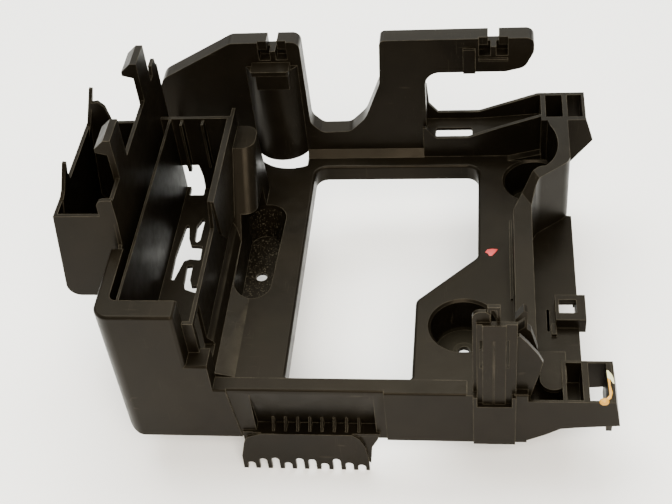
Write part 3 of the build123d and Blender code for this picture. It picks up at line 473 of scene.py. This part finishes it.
# ---------- paint marks, a painted highlight on the yellow stroke, and the tray's thick right wall ---
def partPlace(x, y, z):
    # from the drawing's millimetres to the part's own frame in metres
    return Vector((x, y, z)) / 1000 + drawingShift


def plainCoat(name, colour, roughness):
    coat = bpy.data.materials.new(name)
    coat.use_nodes = True
    shader = coat.node_tree.nodes["Principled BSDF"]
    shader.inputs["Base Color"].default_value = colour
    shader.inputs["Roughness"].default_value = roughness
    return coat


def makePatch(item):
    deselectAll()
    mesh = bpy.data.meshes.new(item["name"])
    points = [partPlace(x, y, item["level"]) for x, y in item["outline"]]
    mesh.from_pydata(points, [], [tuple(range(len(points)))])
    patch = bpy.data.objects.new(item["name"], mesh)
    bpy.context.scene.collection.objects.link(patch)
    bpy.context.view_layer.objects.active = patch
    patch.select_set(True)
    bpy.ops.object.mode_set(mode="EDIT")
    bpy.ops.mesh.select_all(action="SELECT")
    bpy.ops.mesh.extrude_region_move(TRANSFORM_OT_translate={"value": (0, 0, item["thick"] / 1000)})
    bpy.ops.mesh.select_all(action="SELECT")
    bpy.ops.mesh.normals_make_consistent(inside=False)
    bpy.ops.object.mode_set(mode="OBJECT")
    rounding = patch.modifiers.new("rounding", "BEVEL")
    rounding.width = item["round"] / 1000
    rounding.segments = 3
    bpy.ops.object.modifier_apply(modifier=rounding.name)
    bpy.ops.object.shade_smooth_by_angle(angle=math.radians(50))
    patch.data.materials.append(item["coat"])
    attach(patch, "root")
    return patch


redPaint = plainCoat("redPaint", (0.34, 0.002, 0.001, 1.0), 0.5)
yellowPaint = plainCoat("yellowPaint", (0.46, 0.22, 0.006, 1.0), 0.45)
# pale yellow that stands in for the highlight on the yellow paint
strokeHighlightPaint = plainCoat("strokeHighlightPaint", (0.52, 0.50, 0.28, 1.0), 0.5)

patchSet = [
    {"name": "redMark", "coat": redPaint, "level": 47.4, "thick": 0.35, "round": 0.2,
     "outline": [(125.4, 112.9), (127.0, 115.9), (130.5, 116.5), (134.3, 115.9), (132.4, 112.6), (130.2, 109.5),
                 (128.3, 109.5), (127.2, 111.9)]},
    {"name": "yellowStroke", "coat": yellowPaint, "level": 41.9, "thick": 0.6, "round": 0.25,
     "outline": [(201.7, 6.5), (203.4, 5.5), (203.3, 0.5), (204.2, -5.0), (203.0, -9.6), (200.6, -11.6),
                 (199.4, -10.2), (202.0, -7.0), (202.0, -1.0)]},
    # pale patch painted on the yellow stroke as its highlight where it crosses the top edge
    {"name": "strokeHighlightPatch", "coat": strokeHighlightPaint, "level": 41.9, "thick": 0.5, "round": 0.2,
     "outline": [(201.5, 13.0), (202.6, 12.8), (204.6, 9.6), (205.5, 6.6), (205.7, 2.0), (204.8, 2.4), (203.4, 5.6),
                 (201.7, 6.6)]},
]
for item in patchSet:
    makePatch(item)

blobSet = {"place": (198.6, -12.0, 41.9), "radii": (3.1, 2.3, 2.2)}


def makeBlob(settings):
    deselectAll()
    bpy.ops.mesh.primitive_uv_sphere_add(segments=32, ring_count=16, radius=0.001)
    blob = bpy.context.object
    blob.name = "yellowBlob"
    bpy.ops.object.mode_set(mode="EDIT")
    bpy.ops.mesh.select_all(action="SELECT")
    bpy.ops.transform.resize(value=settings["radii"])
    bpy.ops.transform.translate(value=partPlace(*settings["place"]))
    bpy.ops.object.mode_set(mode="OBJECT")
    bpy.ops.object.shade_smooth_by_angle(angle=math.radians(60))
    blob.data.materials.append(yellowPaint)
    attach(blob, "root")
    return blob


makeBlob(blobSet)

wallSet = {"low": (201.4, -12.0, 12.0), "high": (205.2, 19.5, 41.98)}


def makeBlock(name, settings, coat):
    deselectAll()
    low, high = partPlace(*settings["low"]), partPlace(*settings["high"])
    bpy.ops.mesh.primitive_cube_add(size=1)
    block = bpy.context.object
    block.name = name
    bpy.ops.object.mode_set(mode="EDIT")
    bpy.ops.mesh.select_all(action="SELECT")
    bpy.ops.transform.resize(value=high - low)
    bpy.ops.transform.translate(value=(high + low) / 2)
    bpy.ops.mesh.bevel(offset=0.0004, segments=2, affect="EDGES")
    bpy.ops.object.mode_set(mode="OBJECT")
    bpy.ops.object.shade_smooth_by_angle(angle=math.radians(32))
    block.data.materials.append(coat)
    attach(block, "root")
    return block


makeBlock("trayWall", wallSet, blackPlastic)
print("marks ready")
